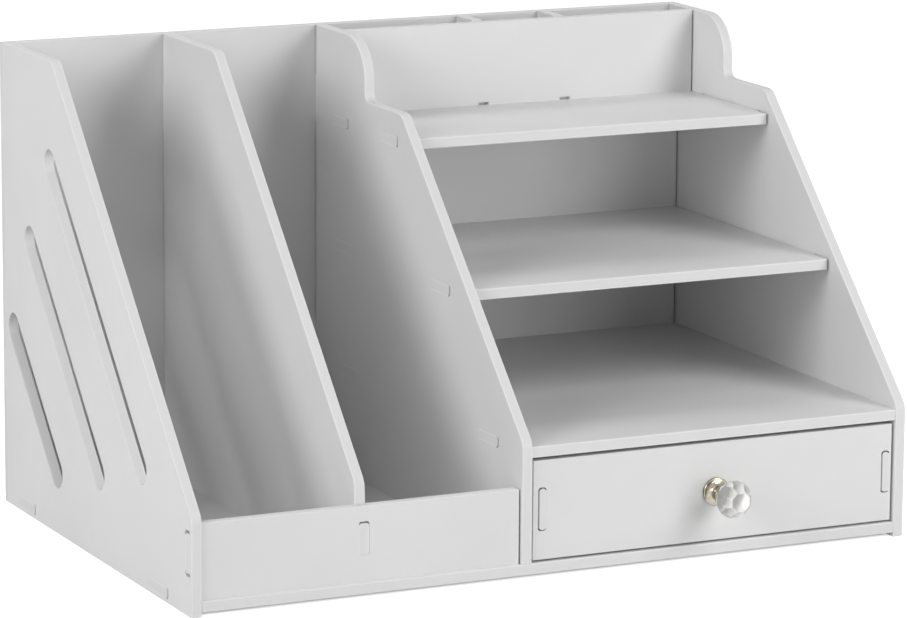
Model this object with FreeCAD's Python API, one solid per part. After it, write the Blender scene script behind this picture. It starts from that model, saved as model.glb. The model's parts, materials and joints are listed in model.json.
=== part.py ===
import FreeCAD, Part
import math
import os

V = FreeCAD.Vector

# Sizes are in millimetres. The pieces are drawn with X to the right from the left end panel,
# Y to the back from the front edges and Z up from the desk.

# The box that the boards fill
width = 410.0
depth = 268.0
height = 253.8
board = 6.0  # sheet that every board but the sides of the drawer is cut from

# Where the upright boards stand
divider_x = 92.0
centre_x = 183.0
right_x = width - board
back_y = depth - board

# Base, held a little above the desk between the end panels
base_bottom = 2.3
base_top = base_bottom + board

# File panels: a short upright front edge, then one long slope up to a flat top
file_front_top = 51.1
file_slope_end = 190.5
file_corner = 8.5

# Tray panels: front edge, slope, a ledge, then a step up with a round shoulder
tray_front_top = 71.8
ledge_y = 150.0
ledge_z = 220.1
step_y = 196.5
ledge_corner = 10.0
step_fillet = 5.0
shoulder = 24.0

# Board that closes the foot of both file slots
fence_y = 1.3
fence_top = 47.9
fence_end_gap = 0.8

# Three slanted slots in the left end panel: middles of the rear and front round ends
slant_width = 16.4
slants = (
    ((194.0, 198.1), (67.2, 61.8)),
    ((225.0, 152.0), (126.1, 46.0)),
    ((251.0, 99.8), (187.5, 33.4)),
)

# Shelves over the drawer: top face and front edge of each
lower_top = 69.6
middle_top = 138.2
upper_top = 207.4
lower_front = 0.8
middle_front = 73.5
upper_front = 143.7
tray_wall_y = 248.5

# Pen bays behind the upper tray
partition_y = 232.3
pen_divider_x = (269.2, 319.7)
pen_corner = 6.0
pen_notch = 1.3

# Drawer
drawer_y = 1.5
drawer_bottom_z = 9.4
drawer_top_z = 61.8
drawer_left_gap = 1.2
drawer_right_gap = 1.4
drawer_side_board = 4.0
drawer_side_inset = (3.6, 1.2)
drawer_side_bottom = 8.7
drawer_side_top = 56.4
drawer_floor_z = 14.4
drawer_back_y = 232.0
drawer_back_drop = 4.0  # the back stops below the sides by this much
drawer_tail = 2.0  # the sides run past the back of the drawer by this much

# Knob: a turned rose and cup that hold a cut crystal, drawn forward from the drawer front
knob_x = 296.5
knob_z = 35.6
rose_radius = 7.5
rose_thickness = 1.6
stem_radius = 3.5
stem_at = 4.8
cup_radius = 6.2
cup_seat = 11.0
flare_end = 10.6
cup_lip = 0.8
cup_wall = 0.6
curve_steps = 5  # flats along each turned curve
crystal_length = 17.0
screw_radius = 2.0
screw_depth = 8.0
screw_end_gap = 0.6
bore_gap = 0.06
hole_gap = 0.24
head_radius = 4.0
head_height = 2.4
recess_width = 0.9
recess_depth = 1.1

# Rings of facets that cut the crystal: how many, their turn in facets, and their distance from
# the axis at the seat and at the table
crystal_rings = (
    (8, 0.0, 4.6, 15.2),
    (16, 0.5, 6.9, 12.6),
    (16, 0.5, 9.8, 9.8),
    (16, 0.5, 13.4, 6.9),
    (8, 0.5, 17.5, 5.0),
)

# Seams left where a board stops short of the one it meets
divider_seam = 0.4
centre_seam = 0.8
shelf_seam = 1.2
wall_seam = 0.8

# Tabs and the slots that take them
tab_corner = 1.0  # corners of tabs and slots are cut off by this much
ease = 0.05  # clearance round a tab
slack = 0.7  # room left in some slots beside the tab
end_gap = 1.3  # room left at the front ends of the tabs in the upright boards
tab_sink = 0.3  # the divider's tab stops this far behind the fence's face
snug = ((0.0, 0.0), (0.0, 0.0))
over = 1.0  # cutters run past the faces they cut by this much
tab_length = 25.0
shelf_tab = 23.0

# Where the tabs start along the boards that carry them
base_side_y = (32.0, 222.0)
base_rear_x = (35.0, 125.0, 225.0, 345.0)
fence_tab_z = (22.0, 42.8)
divider_tab_z = 22.3
divider_tab = 16.6
foot_y = (60.0, 180.0)
tail_z = ((61.6, 25.0), (198.6, 28.0))  # start and length
lower_tab_y = (29.6, 205.0)
middle_tab_y = (89.0, 212.0)
upper_tab_y = (155.0, 219.5)
shelf_rear_x = (225.0, 345.0)
partition_foot_x = (215.0, 355.0)
pen_tongue = 3.2  # the front tongues of the pen dividers stop inside the partition
mortise_gap = 0.3  # room past the end of such a tongue
pen_tongue_height = 14.0
pen_rear_z = 216.6
drawer_tab_z = 24.9
drawer_tab = 21.8
drawer_floor_y = (45.0, 170.0)
drawer_back_z = (28.4, 46.4)
drawer_back_x = 284.0

drawer_left = centre_x + board + drawer_left_gap
drawer_right = right_x - drawer_right_gap
drawer_side_x = (
    drawer_left + drawer_side_inset[0],
    drawer_right - drawer_side_inset[1] - drawer_side_board,
)
knob_reach = cup_seat + crystal_length - drawer_y

# The origin is the middle of the footprint, knob included, on the desk
to_origin = V(-width / 2, (knob_reach - depth) / 2, 0)

planes = {
    "x": lambda at, a, b: V(at, a, b),
    "y": lambda at, a, b: V(a, at, b),
    "z": lambda at, a, b: V(a, b, at),
}
directions = {"x": V(1, 0, 0), "y": V(0, 1, 0), "z": V(0, 0, 1)}


def rounded_wire(corners, place):
    """Closed outline through corners (a, b, radius), each rounded to its radius."""
    points = [V(a, b, 0) for a, b, radius in corners]
    arcs = []
    for i, (a, b, radius) in enumerate(corners):
        here = points[i]
        back = (points[i - 1] - here).normalize()
        ahead = (points[(i + 1) % len(points)] - here).normalize()
        half = back.getAngle(ahead) / 2
        reach = radius / math.tan(half)
        middle = (back + ahead).normalize() * (radius / math.sin(half) - radius)
        arcs.append((here + back * reach, here + middle, here + ahead * reach, radius))
    edges = []
    for i, (start, middle, end, radius) in enumerate(arcs):
        start, middle, end = (place(p.x, p.y) for p in (start, middle, end))
        if radius:
            edges.append(Part.Arc(start, middle, end).toShape())
        following = arcs[(i + 1) % len(arcs)][0]
        following = place(following.x, following.y)
        if end.distanceToPoint(following) > 1e-6:
            edges.append(Part.LineSegment(end, following).toShape())
    return Part.Wire(edges)


def prism(axis, start, length, corners):
    """Outline drawn across an axis and pulled along it."""
    wire = rounded_wire(corners, lambda a, b: planes[axis](start, a, b))
    return Part.Face(wire).extrude(directions[axis] * length)


def rectangle(a0, a1, b0, b1):
    return [(a0, b0, 0.0), (a1, b0, 0.0), (a1, b1, 0.0), (a0, b1, 0.0)]


def cut_rectangle(a0, a1, b0, b1):
    """Rectangle with its corners cut off, the section of a tab or a slot."""
    c = tab_corner
    corners = [(a0 + c, b0), (a1 - c, b0), (a1, b0 + c), (a1, b1 - c)]
    corners += [(a1 - c, b1), (a0 + c, b1), (a0, b1 - c), (a0, b0 + c)]
    return [(a, b, 0.0) for a, b in corners]


class Tab:
    """A tongue through one board, and the slot that takes it.

    The tab runs along an axis from start, through a board as thick as through. low and high are
    the opposite corners of its section, and loose moves those corners of the slot further out.
    root is how far back the tongue reaches, over a seam, to the board that carries it.
    """

    def __init__(self, axis, start, low, high, loose=snug, root=0.0, through=board):
        self.axis = axis
        self.start = start
        self.low = low
        self.high = high
        self.loose = loose
        self.root = root
        self.through = through

    def tongue(self):
        (a0, b0), (a1, b1) = self.low, self.high
        section = cut_rectangle(a0, a1, b0, b1)
        return prism(self.axis, self.start - self.root, self.through + self.root, section)

    def slot(self):
        (a0, b0), (a1, b1) = self.low, self.high
        (a0_more, b0_more), (a1_more, b1_more) = self.loose
        section = cut_rectangle(
            a0 - ease - a0_more, a1 + ease + a1_more, b0 - ease - b0_more, b1 + ease + b1_more
        )
        return prism(self.axis, self.start - over, self.through + 2 * over, section)


def across(start, y, z_top, length=tab_length, loose=snug, root=0.0):
    """Tab of a level board, out through an upright board at X = start."""
    return Tab("x", start, (y, z_top - board), (y + length, z_top), loose, root)


def backward(start, x, z, length, loose=snug, root=0.0):
    """Tab of an upright board, out through a board at Y = start."""
    return Tab("y", start, (x, z), (x + board, z + length), loose, root)


def rearward(start, x, z_top):
    """Tab of a level board, out through a board at Y = start."""
    return Tab("y", start, (x, z_top - board), (x + tab_length, z_top))


base_side_tabs = [
    across(x, y, base_top, loose=((end_gap, 0.0), (0.0, 0.0))) for x in (0.0, right_x) for y in base_side_y
]
base_rear_tabs = [rearward(back_y, x, base_top) for x in base_rear_x]
fence_low = (fence_y, fence_tab_z[0])
fence_high = (fence_y + board, fence_tab_z[1])
fence_tab = Tab("x", 0.0, fence_low, fence_high, ((0.0, end_gap), (0.0, end_gap)))
divider_low = (divider_x, divider_tab_z)
divider_high = (divider_x + board, divider_tab_z + divider_tab)
divider_loose = ((0.0, 0.0), (0.0, slack))
divider_front_tab = Tab(
    "y", fence_y + tab_sink, divider_low, divider_high, divider_loose, through=board - tab_sink
)


def foot_tabs(x):
    """Tabs of an inner panel, down through the base."""
    return [Tab("z", base_bottom, (x, y), (x + board, y + tab_length)) for y in foot_y]


def tail_tabs(x, seam=0.0):
    """Tabs of an upright panel, out through the back board."""
    return [backward(back_y, x, z, length, root=seam) for z, length in tail_z]


divider_feet = foot_tabs(divider_x)
centre_feet = foot_tabs(centre_x)
left_tail = tail_tabs(0.0)
divider_tail = tail_tabs(divider_x, divider_seam)
centre_tail = tail_tabs(centre_x, centre_seam)
right_tail = tail_tabs(right_x)


def shelf_side_tabs(top, starts, seam=0.0, rear_gap=0.0):
    """Front and rear tabs of a shelf, through the centre panel and then the right end panel."""
    front, rear = starts
    tabs = []
    for x, root in ((centre_x, 0.0), (right_x, seam)):
        for y, gap in ((front, end_gap), (rear, rear_gap)):
            tabs.append(across(x, y, top, shelf_tab, ((gap, 0.0), (0.0, 0.0)), root))
    return tabs


lower_side_tabs = shelf_side_tabs(lower_top, lower_tab_y)
middle_side_tabs = shelf_side_tabs(middle_top, middle_tab_y, shelf_seam)
upper_side_tabs = shelf_side_tabs(upper_top, upper_tab_y, shelf_seam, end_gap)
lower_rear_tabs = [rearward(tray_wall_y, x, lower_top) for x in shelf_rear_x]
middle_rear_tabs = [rearward(tray_wall_y, x, middle_top) for x in shelf_rear_x]
upper_rear_tabs = [rearward(back_y, x, upper_top) for x in shelf_rear_x]


def down_through(z, y, starts):
    """Tabs of a board that faces the front, down through the board whose underside is at z."""
    return [Tab("z", z, (x, y), (x + tab_length, y + board)) for x in starts]


tray_wall_feet = down_through(base_bottom, tray_wall_y, shelf_rear_x)
partition_feet = down_through(upper_top - board, partition_y, partition_foot_x)
pen_rear_tabs = [backward(back_y, x, pen_rear_z, tab_length) for x in pen_divider_x]

drawer_front_tabs = []
drawer_floor_tabs = []
drawer_back_tabs = []
for x in drawer_side_x:
    low = (x, drawer_tab_z)
    high = (x + drawer_side_board, drawer_tab_z + drawer_tab)
    drawer_front_tabs.append(Tab("y", drawer_y, low, high, ((slack, slack / 2), (0.0, slack))))
    for y in drawer_floor_y:
        low = (y, drawer_floor_z)
        high = (y + tab_length, drawer_floor_z + board)
        drawer_floor_tabs.append(Tab("x", x, low, high, through=drawer_side_board))
    low = (drawer_back_y, drawer_back_z[0])
    high = (drawer_back_y + board, drawer_back_z[1])
    drawer_back_tabs.append(Tab("x", x, low, high, through=drawer_side_board))
drawer_floor_rear = rearward(drawer_back_y, drawer_back_x, drawer_floor_z + board)


def joined(blank, tabs=(), slots=()):
    """Board with its tongues added and its slots cut."""
    for tab in tabs:
        blank = blank.fuse(tab.tongue())
    for tab in slots:
        blank = blank.cut(tab.slot())
    return blank.removeSplitter()


def file_outline(front, foot, rear=back_y):
    """Side view of a board between file slots, from its front edge, its foot and its rear edge."""
    slope = file_slope_end / (height - file_front_top)
    front_top = file_front_top + front / slope
    return [
        (front, foot, 0.0),
        (front, front_top, file_corner),
        (file_slope_end, height, file_corner),
        (rear, height, 0.0),
        (rear, foot, 0.0),
    ]


def tray_outline(foot, rear=back_y):
    """Side view of a board beside the trays."""
    return [
        (0.0, foot, 0.0),
        (0.0, tray_front_top, file_corner),
        (ledge_y, ledge_z, ledge_corner),
        (step_y, ledge_z, step_fillet),
        (step_y, height, shoulder),
        (rear, height, 0.0),
        (rear, foot, 0.0),
    ]


def slant_outline(rear, front):
    """Outline of a slanted slot with round ends about two middles."""
    radius = slant_width / 2
    (y0, z0), (y1, z1) = rear, front
    run = math.hypot(y1 - y0, z1 - z0)
    along_y = (y0 - y1) / run * radius
    along_z = (z0 - z1) / run * radius
    return [
        (y0 + along_y + along_z, z0 + along_z - along_y, radius),
        (y0 + along_y - along_z, z0 + along_z + along_y, radius),
        (y1 - along_y - along_z, z1 - along_z + along_y, radius),
        (y1 - along_y + along_z, z1 - along_z - along_y, radius),
    ]


def left_end_panel():
    blank = prism("x", 0.0, board, file_outline(0.0, 0.0))
    for rear, front in slants:
        blank = blank.cut(prism("x", -over, board + 2 * over, slant_outline(rear, front)))
    return joined(blank, left_tail, base_side_tabs[:2] + [fence_tab])


def file_divider():
    blank = prism("x", divider_x, board, file_outline(fence_y + board, base_top, back_y - divider_seam))
    return joined(blank, [divider_front_tab] + divider_feet + divider_tail)


def centre_panel():
    blank = prism("x", centre_x, board, tray_outline(base_top, back_y - centre_seam))
    slots = lower_side_tabs[:2] + middle_side_tabs[:2] + upper_side_tabs[:2]
    return joined(blank, centre_feet + centre_tail, slots)


def right_end_panel():
    blank = prism("x", right_x, board, tray_outline(0.0))
    slots = lower_side_tabs[2:] + middle_side_tabs[2:] + upper_side_tabs[2:] + base_side_tabs[2:]
    return joined(blank, right_tail, slots)


def base_board():
    blank = prism("z", base_bottom, board, rectangle(board, right_x, 0.0, back_y))
    return joined(blank, base_side_tabs + base_rear_tabs, divider_feet + centre_feet + tray_wall_feet)


def back_board():
    blank = prism("y", back_y, board, rectangle(0.0, width, 0.0, height))
    panels = left_tail + divider_tail + centre_tail + right_tail
    return joined(blank, (), panels + base_rear_tabs + upper_rear_tabs + pen_rear_tabs)


def front_fence():
    blank = prism("y", fence_y, board, rectangle(board, centre_x - fence_end_gap, base_top, fence_top))
    return joined(blank, [fence_tab], [divider_front_tab])


def shelf(top, front, rear, side_tabs, rear_tabs, slots=(), seam=0.0):
    outline = rectangle(centre_x + board, right_x - seam, front, rear)
    blank = prism("z", top - board, board, outline)
    return joined(blank, side_tabs + rear_tabs, slots)


def tray_back_wall():
    outline = rectangle(centre_x + board, right_x - wall_seam, base_top, upper_top - board)
    blank = prism("y", tray_wall_y, board, outline)
    return joined(blank, tray_wall_feet, lower_rear_tabs + middle_rear_tabs)


def pen_partition():
    outline = rectangle(centre_x + board, right_x - wall_seam, upper_top, height)
    blank = prism("y", partition_y, board, outline)
    mortise_y = partition_y + board - pen_tongue - mortise_gap
    for x in pen_divider_x:
        notch = rectangle(x, x + board, upper_top - over, upper_top + pen_notch)
        blank = blank.cut(prism("y", partition_y - over, board + 2 * over, notch))
        top = upper_top + pen_notch + pen_tongue_height
        mortise = rectangle(x - ease, x + board + ease, upper_top - over, top + ease)
        blank = blank.cut(prism("y", mortise_y, board, mortise))
    return joined(blank, partition_feet)


def pen_divider(index):
    front = partition_y + board
    outline = [
        (front, upper_top, 0.0),
        (front, height, pen_corner),
        (back_y, height, 0.0),
        (back_y, upper_top, 0.0),
    ]
    x = pen_divider_x[index]
    blank = prism("x", x, board, outline)
    tongue = rectangle(front - pen_tongue, front, upper_top, upper_top + pen_notch + pen_tongue_height)
    return joined(blank.fuse(prism("x", x, board, tongue)), [pen_rear_tabs[index]])


def drawer_front():
    outline = rectangle(drawer_left, drawer_right, drawer_bottom_z, drawer_top_z)
    blank = prism("y", drawer_y, board, outline)
    hole = Part.makeCylinder(screw_radius + hole_gap, board, V(knob_x, drawer_y, knob_z), V(0, 1, 0))
    return joined(blank.cut(hole), (), drawer_front_tabs)


def drawer_side(index):
    tail = drawer_back_y + board + drawer_tail
    outline = rectangle(drawer_y + board, tail, drawer_side_bottom, drawer_side_top)
    blank = prism("x", drawer_side_x[index], drawer_side_board, outline)
    pair = slice(2 * index, 2 * index + 2)
    return joined(blank, [drawer_front_tabs[index]], drawer_floor_tabs[pair] + [drawer_back_tabs[index]])


def drawer_bottom():
    left, right = drawer_side_x
    outline = rectangle(left + drawer_side_board, right, drawer_y + board, drawer_back_y)
    blank = prism("z", drawer_floor_z, board, outline)
    return joined(blank, drawer_floor_tabs + [drawer_floor_rear])


def drawer_back():
    left, right = drawer_side_x
    top = drawer_side_top - drawer_back_drop
    outline = rectangle(left + drawer_side_board, right, drawer_bottom_z, top)
    blank = prism("y", drawer_back_y, board, outline)
    return joined(blank, drawer_back_tabs, [drawer_floor_rear])


def curve(start, end):
    """Quarter of an oval from start to end, as (radius, forward) points, level with the axis at start."""
    (r0, f0), (r1, f1) = start, end
    points = []
    for i in range(1, curve_steps + 1):
        angle = math.pi / 2 * i / curve_steps
        points.append((r0 + (r1 - r0) * (1 - math.cos(angle)), f0 + (f1 - f0) * math.sin(angle)))
    return points


def knob_base():
    """Turned rose, stem and cup, with a blind bore for the screw and a raised lip round the seat."""
    bore = screw_radius + bore_gap
    rim = rose_thickness / 3
    stem = (stem_radius, stem_at)
    cove = curve(stem, (rose_radius - rim, rose_thickness))
    flare = curve(stem, (cup_radius, flare_end))
    section = [(bore, 0.0), (rose_radius, 0.0), (rose_radius, rose_thickness - rim)]
    section += cove[::-1] + [stem] + flare
    section += [
        (cup_radius, cup_seat + cup_lip),
        (cup_radius - cup_wall, cup_seat + cup_lip),
        (cup_radius - cup_wall, cup_seat),
        (0.0, cup_seat),
        (0.0, screw_depth),
        (bore, screw_depth),
    ]
    points = [V(knob_x + radius, drawer_y - forward, knob_z) for radius, forward in section]
    face = Part.Face(Part.makePolygon(points + points[:1]))
    return face.revolve(V(knob_x, 0, knob_z), V(0, 1, 0), 360)


def facet_ring(count, turn, back_radius, front_radius):
    """Pyramid of flat facets round the knob's axis, as far as the crystal is long."""
    rings = []
    for radius, forward in ((back_radius, cup_seat), (front_radius, cup_seat + crystal_length)):
        reach = radius / math.cos(math.pi / count)
        angles = [2 * math.pi * (i + turn) / count for i in range(count)]
        y = drawer_y - forward
        rings.append([V(knob_x + reach * math.cos(a), y, knob_z + reach * math.sin(a)) for a in angles])
    back, front = rings
    outlines = [back, front]
    outlines += [[back[i - 1], back[i], front[i], front[i - 1]] for i in range(count)]
    faces = [Part.Face(Part.makePolygon(outline + outline[:1])) for outline in outlines]
    stone = Part.makeSolid(Part.makeShell(faces))
    if stone.Volume < 0:
        stone.reverse()
    return stone


def knob_crystal():
    """Cut stone: main and break facets behind the girdle, then the crown up to a flat table."""
    stone = facet_ring(*crystal_rings[0])
    for ring in crystal_rings[1:]:
        stone = stone.common(facet_ring(*ring))
    return stone.removeSplitter()


def knob_screw():
    inner = drawer_y + board
    axis = V(knob_x, inner, knob_z)
    shank = Part.makeCylinder(screw_radius, board + screw_depth - screw_end_gap, axis, V(0, -1, 0))
    head = Part.makeCylinder(head_radius, head_height, axis, V(0, 1, 0))
    rim = [edge for edge in head.Edges if abs(edge.CenterOfMass.y - inner - head_height) < 0.01]
    head = head.makeChamfer(head_height / 3, rim)
    recess_y = inner + head_height - recess_depth
    for half_x, half_z in ((head_radius / 2, recess_width / 2), (recess_width / 2, head_radius / 2)):
        outline = rectangle(knob_x - half_x, knob_x + half_x, knob_z - half_z, knob_z + half_z)
        head = head.cut(prism("y", recess_y, recess_depth + over, outline))
    return head.fuse(shank).removeSplitter()


pieces = {
    "base_board": base_board(),
    "back_board": back_board(),
    "left_end_panel": left_end_panel(),
    "file_divider": file_divider(),
    "centre_panel": centre_panel(),
    "right_end_panel": right_end_panel(),
    "front_fence": front_fence(),
    "lower_shelf": shelf(lower_top, lower_front, tray_wall_y, lower_side_tabs, lower_rear_tabs),
    "middle_shelf": shelf(
        middle_top, middle_front, tray_wall_y, middle_side_tabs, middle_rear_tabs, seam=shelf_seam
    ),
    "upper_shelf": shelf(
        upper_top, upper_front, back_y, upper_side_tabs, upper_rear_tabs, partition_feet, shelf_seam
    ),
    "tray_back_wall": tray_back_wall(),
    "pen_partition": pen_partition(),
    "pen_divider_left": pen_divider(0),
    "pen_divider_right": pen_divider(1),
    "drawer_front": drawer_front(),
    "drawer_left_side": drawer_side(0),
    "drawer_right_side": drawer_side(1),
    "drawer_bottom": drawer_bottom(),
    "drawer_back": drawer_back(),
    "knob_base": knob_base(),
    "knob_crystal": knob_crystal(),
    "knob_screw": knob_screw(),
}

os.makedirs("parts", exist_ok=True)
for name, piece in pieces.items():
    piece.translate(to_origin)
    piece.exportStep("parts/" + name + ".step")
    print(name, "valid" if piece.isValid() else "NOT VALID", len(piece.Solids), round(piece.Volume, 1))
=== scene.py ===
import bpy
import bmesh
import json
import math
from mathutils import Matrix, Vector
from mathutils.bvhtree import BVHTree


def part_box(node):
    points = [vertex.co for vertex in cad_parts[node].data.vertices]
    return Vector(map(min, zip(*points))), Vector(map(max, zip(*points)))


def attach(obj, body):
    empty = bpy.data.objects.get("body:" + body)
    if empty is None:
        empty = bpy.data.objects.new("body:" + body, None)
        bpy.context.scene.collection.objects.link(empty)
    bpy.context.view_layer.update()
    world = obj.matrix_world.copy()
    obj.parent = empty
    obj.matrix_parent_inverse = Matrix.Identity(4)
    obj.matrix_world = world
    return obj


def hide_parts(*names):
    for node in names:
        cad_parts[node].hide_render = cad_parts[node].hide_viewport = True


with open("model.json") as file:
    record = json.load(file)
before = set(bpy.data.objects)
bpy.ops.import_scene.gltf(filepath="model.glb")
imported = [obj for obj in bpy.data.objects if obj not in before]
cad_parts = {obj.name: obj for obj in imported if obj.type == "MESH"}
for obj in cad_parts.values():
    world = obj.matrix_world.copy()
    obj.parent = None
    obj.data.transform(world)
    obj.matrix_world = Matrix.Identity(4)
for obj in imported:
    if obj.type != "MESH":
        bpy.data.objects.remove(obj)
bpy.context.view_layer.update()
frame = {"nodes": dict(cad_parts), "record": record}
print("frame loaded,", len(frame["nodes"]), "nodes")

mm = 0.001
axes = {"x": 0, "y": 1, "z": 2}

cameraValues = {
    "place": (-1.05776, -2.20780, 0.61806),
    "turn": 25.516,  # degrees to the right of straight on
    "tilt": 11.548,  # degrees down
    "roll": 0.375,
    "lens": 185.91,  # millimetres, on a sensor this wide
    "sensor": 36,
    "clip": (0.05, 50),
}


def placeCamera(values):
    data = bpy.data.cameras.new("camera")
    data.sensor_width = values["sensor"]
    data.lens = values["lens"]
    data.clip_start, data.clip_end = values["clip"]
    camera = bpy.data.objects.new("camera", data)
    bpy.context.scene.collection.objects.link(camera)
    turn = Matrix.Rotation(-math.radians(values["turn"]), 4, "Z")
    tilt = Matrix.Rotation(math.radians(90 - values["tilt"]), 4, "X")
    roll = Matrix.Rotation(math.radians(values["roll"]), 4, "Z")
    camera.matrix_world = Matrix.Translation(values["place"]) @ turn @ tilt @ roll
    bpy.context.scene.camera = camera


placeCamera(cameraValues)
print("camera placed")


def startMaterial(name):
    material = bpy.data.materials.new(name)
    material.use_nodes = True
    nodes = material.node_tree.nodes
    return material, nodes, material.node_tree.links, nodes["Principled BSDF"]


def ownPlace(nodes):
    return nodes.new("ShaderNodeTexCoord").outputs["Object"]


def mathNode(nodes, links, operation, *values):
    # each value is a number or the output of another node
    node = nodes.new("ShaderNodeMath")
    node.operation = operation
    for value, socket in zip(values, node.inputs):
        if isinstance(value, bpy.types.NodeSocket):
            links.new(value, socket)
        else:
            socket.default_value = value
    return node.outputs[0]


def noiseNode(nodes, links, scale, detail, roughness=0.5):
    noise = nodes.new("ShaderNodeTexNoise")
    noise.inputs["Scale"].default_value = scale
    noise.inputs["Detail"].default_value = detail
    noise.inputs["Roughness"].default_value = roughness
    links.new(ownPlace(nodes), noise.inputs["Vector"])
    return noise.outputs["Fac"]


def rampNode(nodes, links, value, stops):
    ramp = nodes.new("ShaderNodeValToRGB")
    elements = ramp.color_ramp.elements
    while len(elements) < len(stops):
        elements.new(0.5)
    for element, (place, tone) in zip(elements, stops):
        colour = tone if isinstance(tone, tuple) else (tone, tone, tone)
        element.position = place
        element.color = (*colour, 1)
    links.new(value, ramp.inputs["Fac"])
    return ramp.outputs["Color"]


def spread(nodes, links, noise, tones, width=0.4):
    # from one tone to the other over the middle of the noise
    return rampNode(nodes, links, noise, ((0.5 - width / 2, tones[0]), (0.5 + width / 2, tones[1])))


def bumpNode(nodes, links, height, strength, distance):
    bump = nodes.new("ShaderNodeBump")
    bump.inputs["Strength"].default_value = strength
    bump.inputs["Distance"].default_value = distance
    links.new(height, bump.inputs["Height"])
    return bump.outputs["Normal"]


skinValues = {
    "tones": (0.72, 0.75),
    "mottle": 14.0,
    "grain": 900.0,
    "roughness": (0.42, 0.52),
    "bump": (0.25, 0.02 * mm),
    "shine": 0.35,
}


def boardSkin(values):
    material, nodes, links, shader = startMaterial("board skin")
    mottle = noiseNode(nodes, links, values["mottle"], 3.0)
    links.new(spread(nodes, links, mottle, values["tones"]), shader.inputs["Base Color"])
    grain = noiseNode(nodes, links, values["grain"], 2.0)
    links.new(spread(nodes, links, grain, values["roughness"]), shader.inputs["Roughness"])
    links.new(bumpNode(nodes, links, grain, *values["bump"]), shader.inputs["Normal"])
    shader.inputs["Specular IOR Level"].default_value = values["shine"]
    return material


# cut edge tones: the lighter band at the rims is partly the board's skin and partly a painted highlight on
# the rounded rims
cutEdgeAndRimHighlightValues = {
    "core": 0.73,
    # lighter at the rims: the board's skin plus a painted highlight
    "skin": 0.79,
    "pores": 1600.0,
}
# slot and pocket walls: the cut edge tones darkened as painted shade inside the recesses
slotShadeValues = {
    "core": 0.65,
    "skin": 0.70,
    "pores": 1300.0,
}
cutValues = {
    "layers": (0.62, 0.86),  # the core ends and the lighter rim band starts here, from the middle out; the band is the board's skin with a painted highlight on the rounded rims
    "bump": (0.35, 0.04 * mm),
    "roughness": 0.6,
    "shine": 0.3,
}


def cutEdge(name, tones, values):
    material, nodes, links, shader = startMaterial(name)
    across = nodes.new("ShaderNodeAttribute")
    across.attribute_name = "across"
    away = mathNode(nodes, links, "ABSOLUTE", across.outputs["Fac"])
    coreEnd, skinAndHighlightStart = values["layers"]
    # core tone in the middle, then the lighter rim band: skin plus painted rim highlight
    stops = ((0.0, tones["core"]), (coreEnd, tones["core"]), (skinAndHighlightStart, tones["skin"]))
    links.new(rampNode(nodes, links, away, stops), shader.inputs["Base Color"])
    pores = noiseNode(nodes, links, tones["pores"], 3.0, 0.6)
    links.new(bumpNode(nodes, links, pores, *values["bump"]), shader.inputs["Normal"])
    shader.inputs["Roughness"].default_value = values["roughness"]
    shader.inputs["Specular IOR Level"].default_value = values["shine"]
    return material


brassValues = {
    "tones": ((0.28, 0.26, 0.205), (0.41, 0.385, 0.31)),  # worn and bright
    "grain": 300.0,
    "wear": 0.3,
    "roughness": (0.10, 0.20),
}


def polishedBrass(values):
    material, nodes, links, shader = startMaterial("polished brass")
    grain = noiseNode(nodes, links, values["grain"], 3.0)
    links.new(spread(nodes, links, grain, values["tones"], values["wear"]), shader.inputs["Base Color"])
    links.new(spread(nodes, links, grain, values["roughness"]), shader.inputs["Roughness"])
    shader.inputs["Metallic"].default_value = 1.0
    return material


crystalValues = {
    "clear": 0.62,  # the rest is a milky white
    "colour": (0.97, 0.965, 0.955),
    "polish": 500.0,
    "roughness": (0.0, 0.04),
    "refraction": 1.54,
}


def milkyCrystal(values):
    material, nodes, links, shader = startMaterial("milky crystal")
    polish = noiseNode(nodes, links, values["polish"], 1.0)
    links.new(spread(nodes, links, polish, values["roughness"]), shader.inputs["Roughness"])
    shader.inputs["Base Color"].default_value = (*values["colour"], 1)
    shader.inputs["Transmission Weight"].default_value = values["clear"]
    shader.inputs["IOR"].default_value = values["refraction"]
    return material


zincValues = {
    "tones": ((0.50, 0.51, 0.53), (0.66, 0.66, 0.67)),
    "cloud": 450.0,
    "roughness": (0.25, 0.38),
}


def zincPlate(values):
    material, nodes, links, shader = startMaterial("zinc plate")
    cloud = noiseNode(nodes, links, values["cloud"], 3.0)
    links.new(spread(nodes, links, cloud, values["tones"]), shader.inputs["Base Color"])
    links.new(spread(nodes, links, cloud, values["roughness"]), shader.inputs["Roughness"])
    shader.inputs["Metallic"].default_value = 1.0
    return material


skin = boardSkin(skinValues)
edge = cutEdge("board cut edge and painted rim highlight", cutEdgeAndRimHighlightValues, cutValues)
# darker copy of the cut edge: painted shade in slots and pockets
slotWallShade = cutEdge("slot wall painted shade", slotShadeValues, cutValues)
brass = polishedBrass(brassValues)
crystal = milkyCrystal(crystalValues)
zinc = zincPlate(zincValues)
print("materials ready")

boardValues = {
    "across": {  # the way through the board's thickness
        "x": ("left_end_panel", "file_divider", "centre_panel", "right_end_panel", "pen_divider_left",
              "pen_divider_right", "drawer_left_side", "drawer_right_side"),
        "y": ("back_board", "front_fence", "tray_back_wall", "pen_partition", "drawer_front", "drawer_back"),
        "z": ("base_board", "lower_shelf", "middle_shelf", "upper_shelf", "drawer_bottom"),
    },
    "rounding": 0.55 * mm,
    "segments": 3,
    "corner": 30,  # edges sharper than this many degrees are rounded
    "joint": 0.35 * mm,  # unless they lie this close to the next board
    "tries": (0.15, 0.5, 0.85),  # at two of these places along the edge
    "face": 0.7,  # least share of a face's normal across the board
    "sharp": 40,
    "weight": 90,
}
mendValues = {
    "merge": 0.001 * mm,
    "flat": 0.5,  # degrees between faces that become one
}


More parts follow.
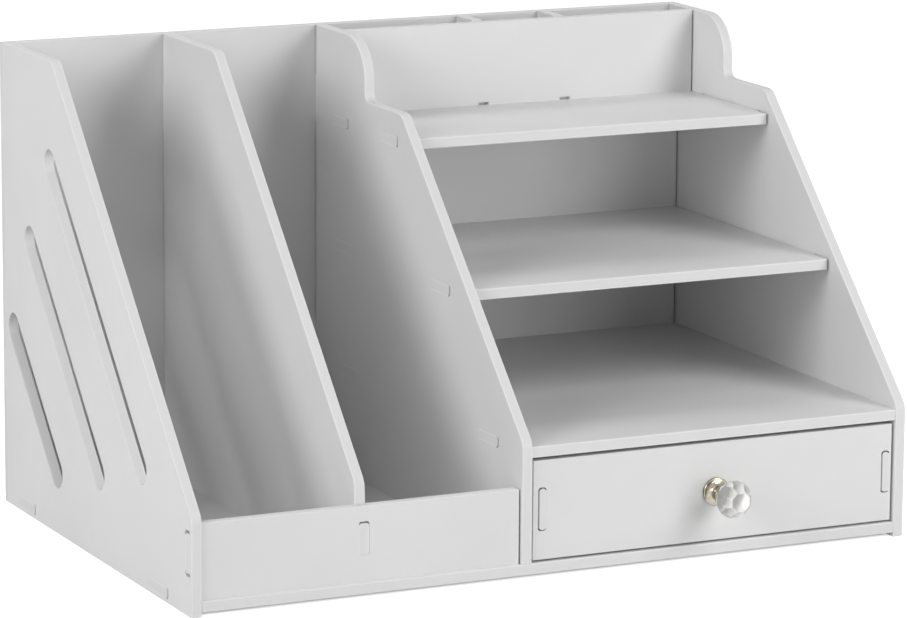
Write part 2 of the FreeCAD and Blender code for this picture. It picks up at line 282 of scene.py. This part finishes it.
def paintedShadeFaces(bm, thin, face):
    # cut faces away from the outline: walls of slots and pockets, which are coloured darker as painted shade
    cut = {f for f in bm.faces if abs(f.normal[thin]) <= face}
    groups = []
    while cut:
        group = {cut.pop()}
        front = list(group)
        while front:
            near = {g for e in front.pop().edges for g in e.link_faces} & cut
            cut -= near
            group |= near
            front += near
        groups.append(group)
    groups.sort(key=lambda group: sum(f.calc_area() for f in group))
    return [f for group in groups[:-1] for f in group]


def finishMesh(bm, name, sharp):
    bm.normal_update()
    for f in bm.faces:
        f.smooth = True
    for e in bm.edges:
        e.smooth = e.calc_face_angle(0) < math.radians(sharp)
    mesh = bpy.data.meshes.new(name)
    bm.to_mesh(mesh)
    bm.free()
    piece = bpy.data.objects.new(name, mesh)
    bpy.context.scene.collection.objects.link(piece)
    return piece


def mergedCopy(node, values):
    bm = bmesh.new()
    bm.from_mesh(frame["nodes"][node].data)
    bmesh.ops.remove_doubles(bm, verts=bm.verts, dist=values["merge"])
    flat = math.radians(values["flat"])
    bmesh.ops.dissolve_limit(bm, angle_limit=flat, verts=bm.verts, edges=bm.edges)
    return bm


def isJoint(e, others, values):
    start, end = e.verts[0].co, e.verts[1].co
    touches = 0
    for part in values["tries"]:
        place = start.lerp(end, part)
        touches += any(tree.find_nearest(place, values["joint"])[0] is not None for tree in others)
    return touches >= 2


def dressBoard(node, axis, body, others, values):
    bm = mergedCopy(node, mendValues)
    corner = math.radians(values["corner"])
    rims = [e for e in bm.edges if e.is_convex and e.calc_face_angle(0) > corner]
    rims = [e for e in rims if not isJoint(e, others, values)]
    bmesh.ops.bevel(bm, geom=rims, offset=values["rounding"], segments=values["segments"], profile=0.5,
                    affect="EDGES", clamp_overlap=True, material=-1)
    thin = axes[axis]
    low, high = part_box(node)
    middle = (low[thin] + high[thin]) / 2
    half = (high[thin] - low[thin]) / 2
    across = bm.verts.layers.float.new("across")
    for v in bm.verts:
        v[across] = (v.co[thin] - middle) / half
    for f in bm.faces:
        f.material_index = 0 if abs(f.normal[thin]) > values["face"] else 1
    # slot and pocket walls get the darker tones: painted shade in the recesses
    for f in paintedShadeFaces(bm, thin, values["face"]):
        f.material_index = 2
    piece = finishMesh(bm, node + "_finished", values["sharp"])
    for material in (skin, edge, slotWallShade):
        piece.data.materials.append(material)
    weighted = piece.modifiers.new("even shading", "WEIGHTED_NORMAL")
    weighted.keep_sharp = True
    weighted.weight = values["weight"]
    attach(piece, body)
    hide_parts(node)


def boardTrees(names):
    trees = {}
    for node in names:
        bm = mergedCopy(node, mendValues)
        trees[node] = BVHTree.FromBMesh(bm)
        bm.free()
    return trees


bodies = frame["record"]["behaviour"]["bodies"]
thinAxis = {node: axis for axis, names in boardValues["across"].items() for node in names}
for body, names in bodies.items():
    boards = [node for node in names if node in thinAxis]
    trees = boardTrees(boards)
    for node in boards:
        others = [trees[other] for other in boards if other != node]
        dressBoard(node, thinAxis[node], body, others, boardValues)
print("boards rounded and finished")

knobValues = {
    "steps": 96,
    "sharp": 25,
    # half section in millimetres: distance from the axis, distance in front of the drawer
    "rose": ((2.06, 0.0), (7.35, 0.0), (7.5, 0.15), (7.5, 0.85)),
    "rim": ((7.5, 0.85), (6.95, 1.55)),
    "rimSteps": 6,
    "cove": ((6.95, 1.6), (3.55, 4.8)),
    "flare": ((3.55, 4.8), (6.2, 10.6)),
    "sweepSteps": 14,  # in the cove and in the flare
    "lip": ((6.2, 11.65), (6.05, 11.8), (5.75, 11.8), (5.6, 11.65)),
    "seat": ((5.6, 11.0), (0.0, 11.0)),
    "bore": ((0.0, 8.0), (2.06, 8.0)),
}


def quarterRound(start, end, steps, inwardFirst):
    points = [start]
    for i in range(1, steps + 1):
        angle = math.pi / 2 * i / steps
        shares = (math.sin(angle), 1 - math.cos(angle))
        if not inwardFirst:
            shares = shares[::-1]
        points.append(tuple(a + (b - a) * share for a, b, share in zip(start, end, shares)))
    return points


def turnedKnob(values):
    section = list(values["rose"][:-1])
    section += quarterRound(*values["rim"], values["rimSteps"], False)
    section += quarterRound(*values["cove"], values["sweepSteps"], True)[:-1]
    section += quarterRound(*values["flare"], values["sweepSteps"], False)
    section += values["lip"] + values["seat"] + values["bore"]
    low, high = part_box("knob_base")
    x, y, z = (low[0] + high[0]) / 2, high[1], (low[2] + high[2]) / 2
    bm = bmesh.new()
    points = [bm.verts.new((x + radius * mm, y - forward * mm, z)) for radius, forward in section]
    lines = [bm.edges.new(pair) for pair in zip(points, points[1:] + points[:1])]
    bmesh.ops.spin(bm, geom=points + lines, axis=(0, 1, 0), cent=(x, y, z), angle=math.radians(360),
                   steps=values["steps"], use_merge=True)
    bmesh.ops.remove_doubles(bm, verts=bm.verts, dist=mendValues["merge"])
    bmesh.ops.recalc_face_normals(bm, faces=bm.faces)
    piece = finishMesh(bm, "knob_base_finished", values["sharp"])
    piece.data.materials.append(brass)
    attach(piece, "drawer")
    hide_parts("knob_base")


stoneValues = {
    "arris": 0.09 * mm,  # polish along the edges of the facets
    "sharp": 1,
}


def cutStone(values):
    bm = mergedCopy("knob_crystal", mendValues)
    bmesh.ops.bevel(bm, geom=bm.edges, offset=values["arris"], segments=1, profile=0.5, affect="EDGES",
                    clamp_overlap=True, material=-1)
    piece = finishMesh(bm, "knob_crystal_finished", values["sharp"])
    piece.data.materials.append(crystal)
    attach(piece, "drawer")
    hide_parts("knob_crystal")


turnedKnob(knobValues)
cutStone(stoneValues)
screw = frame["nodes"]["knob_screw"].data
screw.materials.clear()
screw.materials.append(zinc)
print("knob finished")

studioValues = {
    "aim": (0.0, 0.0, 0.12),
    "lamps": {  # bearing right of straight in front, height in degrees, distance, width, watts
        "high key": (38, 34, 2.0, 1.1, 16.6),
        "low key": (26, 8, 2.0, 1.0, 9.8),
        "left": (-75, 25, 2.0, 1.0, 17.0),
        "front left": (-50, 8, 2.0, 0.95, 4.7),
        "top left": (-92, 66, 2.0, 0.95, 3.1),
        "top back": (180, 60, 2.0, 0.95, 10.2),
        "right back": (115, 20, 2.4, 1.2, 4.0),
        "back": (185, 22, 2.4, 1.4, 6.0),
    },
}


def addLamp(name, bearing, height, distance, width, watts, aim):
    data = bpy.data.lights.new(name, "AREA")
    data.shape = "DISK"
    data.size = width
    data.energy = watts
    lamp = bpy.data.objects.new(name, data)
    bpy.context.scene.collection.objects.link(lamp)
    bearing = math.radians(bearing)
    height = math.radians(height)
    level = math.cos(height)
    towards = Vector((math.sin(bearing) * level, -math.cos(bearing) * level, math.sin(height)))
    lamp.location = Vector(aim) + towards * distance
    lamp.rotation_mode = "QUATERNION"
    lamp.rotation_quaternion = towards.to_track_quat("Z", "Y")


def seenDirectly(nodes, links):
    # 1 where the camera looks, also in metal and through glass, and 0 for the light on the object
    path = nodes.new("ShaderNodeLightPath").outputs
    first = mathNode(nodes, links, "MAXIMUM", path["Is Camera Ray"], path["Is Glossy Ray"])
    return mathNode(nodes, links, "MAXIMUM", first, path["Is Transmission Ray"])


def whiteWorld():
    world = bpy.data.worlds.new("studio")
    bpy.context.scene.world = world
    world.use_nodes = True
    nodes = world.node_tree.nodes
    links = world.node_tree.links
    white = nodes["Background"]
    white.inputs["Color"].default_value = (1, 1, 1, 1)
    links.new(seenDirectly(nodes, links), white.inputs["Strength"])


floorValues = {
    "width": 6.0,
    "sink": 0.2 * mm,
    "colour": (0.82, 0.82, 0.82),
    "roughness": 0.9,
    "lift": (0.10, 0.85),  # glow that the camera sees, under the boards and round them; the low glow under the boards is painted contact shade
    "fade": (-10.0 * mm, -4.0 * mm),  # from one to the other, measured out from the boards' rim
}


# camera-seen floor glow, dimmed under the boards' footprint as painted contact shade
def glowWithPaintedContactShade(nodes, links, values):
    split = nodes.new("ShaderNodeSeparateXYZ")
    links.new(ownPlace(nodes), split.inputs[0])
    left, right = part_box("left_end_panel"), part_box("right_end_panel")
    gaps = []
    for axis, start, end in (("X", left[0][0], right[1][0]), ("Y", left[0][1], left[1][1])):
        centred = mathNode(nodes, links, "SUBTRACT", split.outputs[axis], (start + end) / 2)
        away = mathNode(nodes, links, "ABSOLUTE", centred)
        gaps.append(mathNode(nodes, links, "SUBTRACT", away, (end - start) / 2))
    fade = nodes.new("ShaderNodeMapRange")
    ends = zip(("From Min", "From Max", "To Min", "To Max"), values["fade"] + values["lift"])
    for socket, value in ends:
        fade.inputs[socket].default_value = value
    links.new(mathNode(nodes, links, "MAXIMUM", *gaps), fade.inputs["Value"])
    return fade.outputs["Result"]


def addFloor(values):
    bm = bmesh.new()
    bmesh.ops.create_grid(bm, x_segments=1, y_segments=1, size=values["width"] / 2)
    bmesh.ops.translate(bm, vec=(0, 0, -values["sink"]), verts=bm.verts)
    floor = finishMesh(bm, "floor", 30)
    material, nodes, links, shader = startMaterial("white floor")
    shader.inputs["Base Color"].default_value = (*values["colour"], 1)
    shader.inputs["Roughness"].default_value = values["roughness"]
    shader.inputs["Specular IOR Level"].default_value = 0.0
    lift = mathNode(nodes, links, "MULTIPLY", seenDirectly(nodes, links), glowWithPaintedContactShade(nodes, links, values))
    shader.inputs["Emission Color"].default_value = (1, 1, 1, 1)
    links.new(lift, shader.inputs["Emission Strength"])
    floor.data.materials.append(material)


for name, lamp in studioValues["lamps"].items():
    addLamp(name + " lamp", *lamp, studioValues["aim"])
whiteWorld()
addFloor(floorValues)
bpy.context.scene.view_settings.view_transform = "Standard"
print("studio lit")
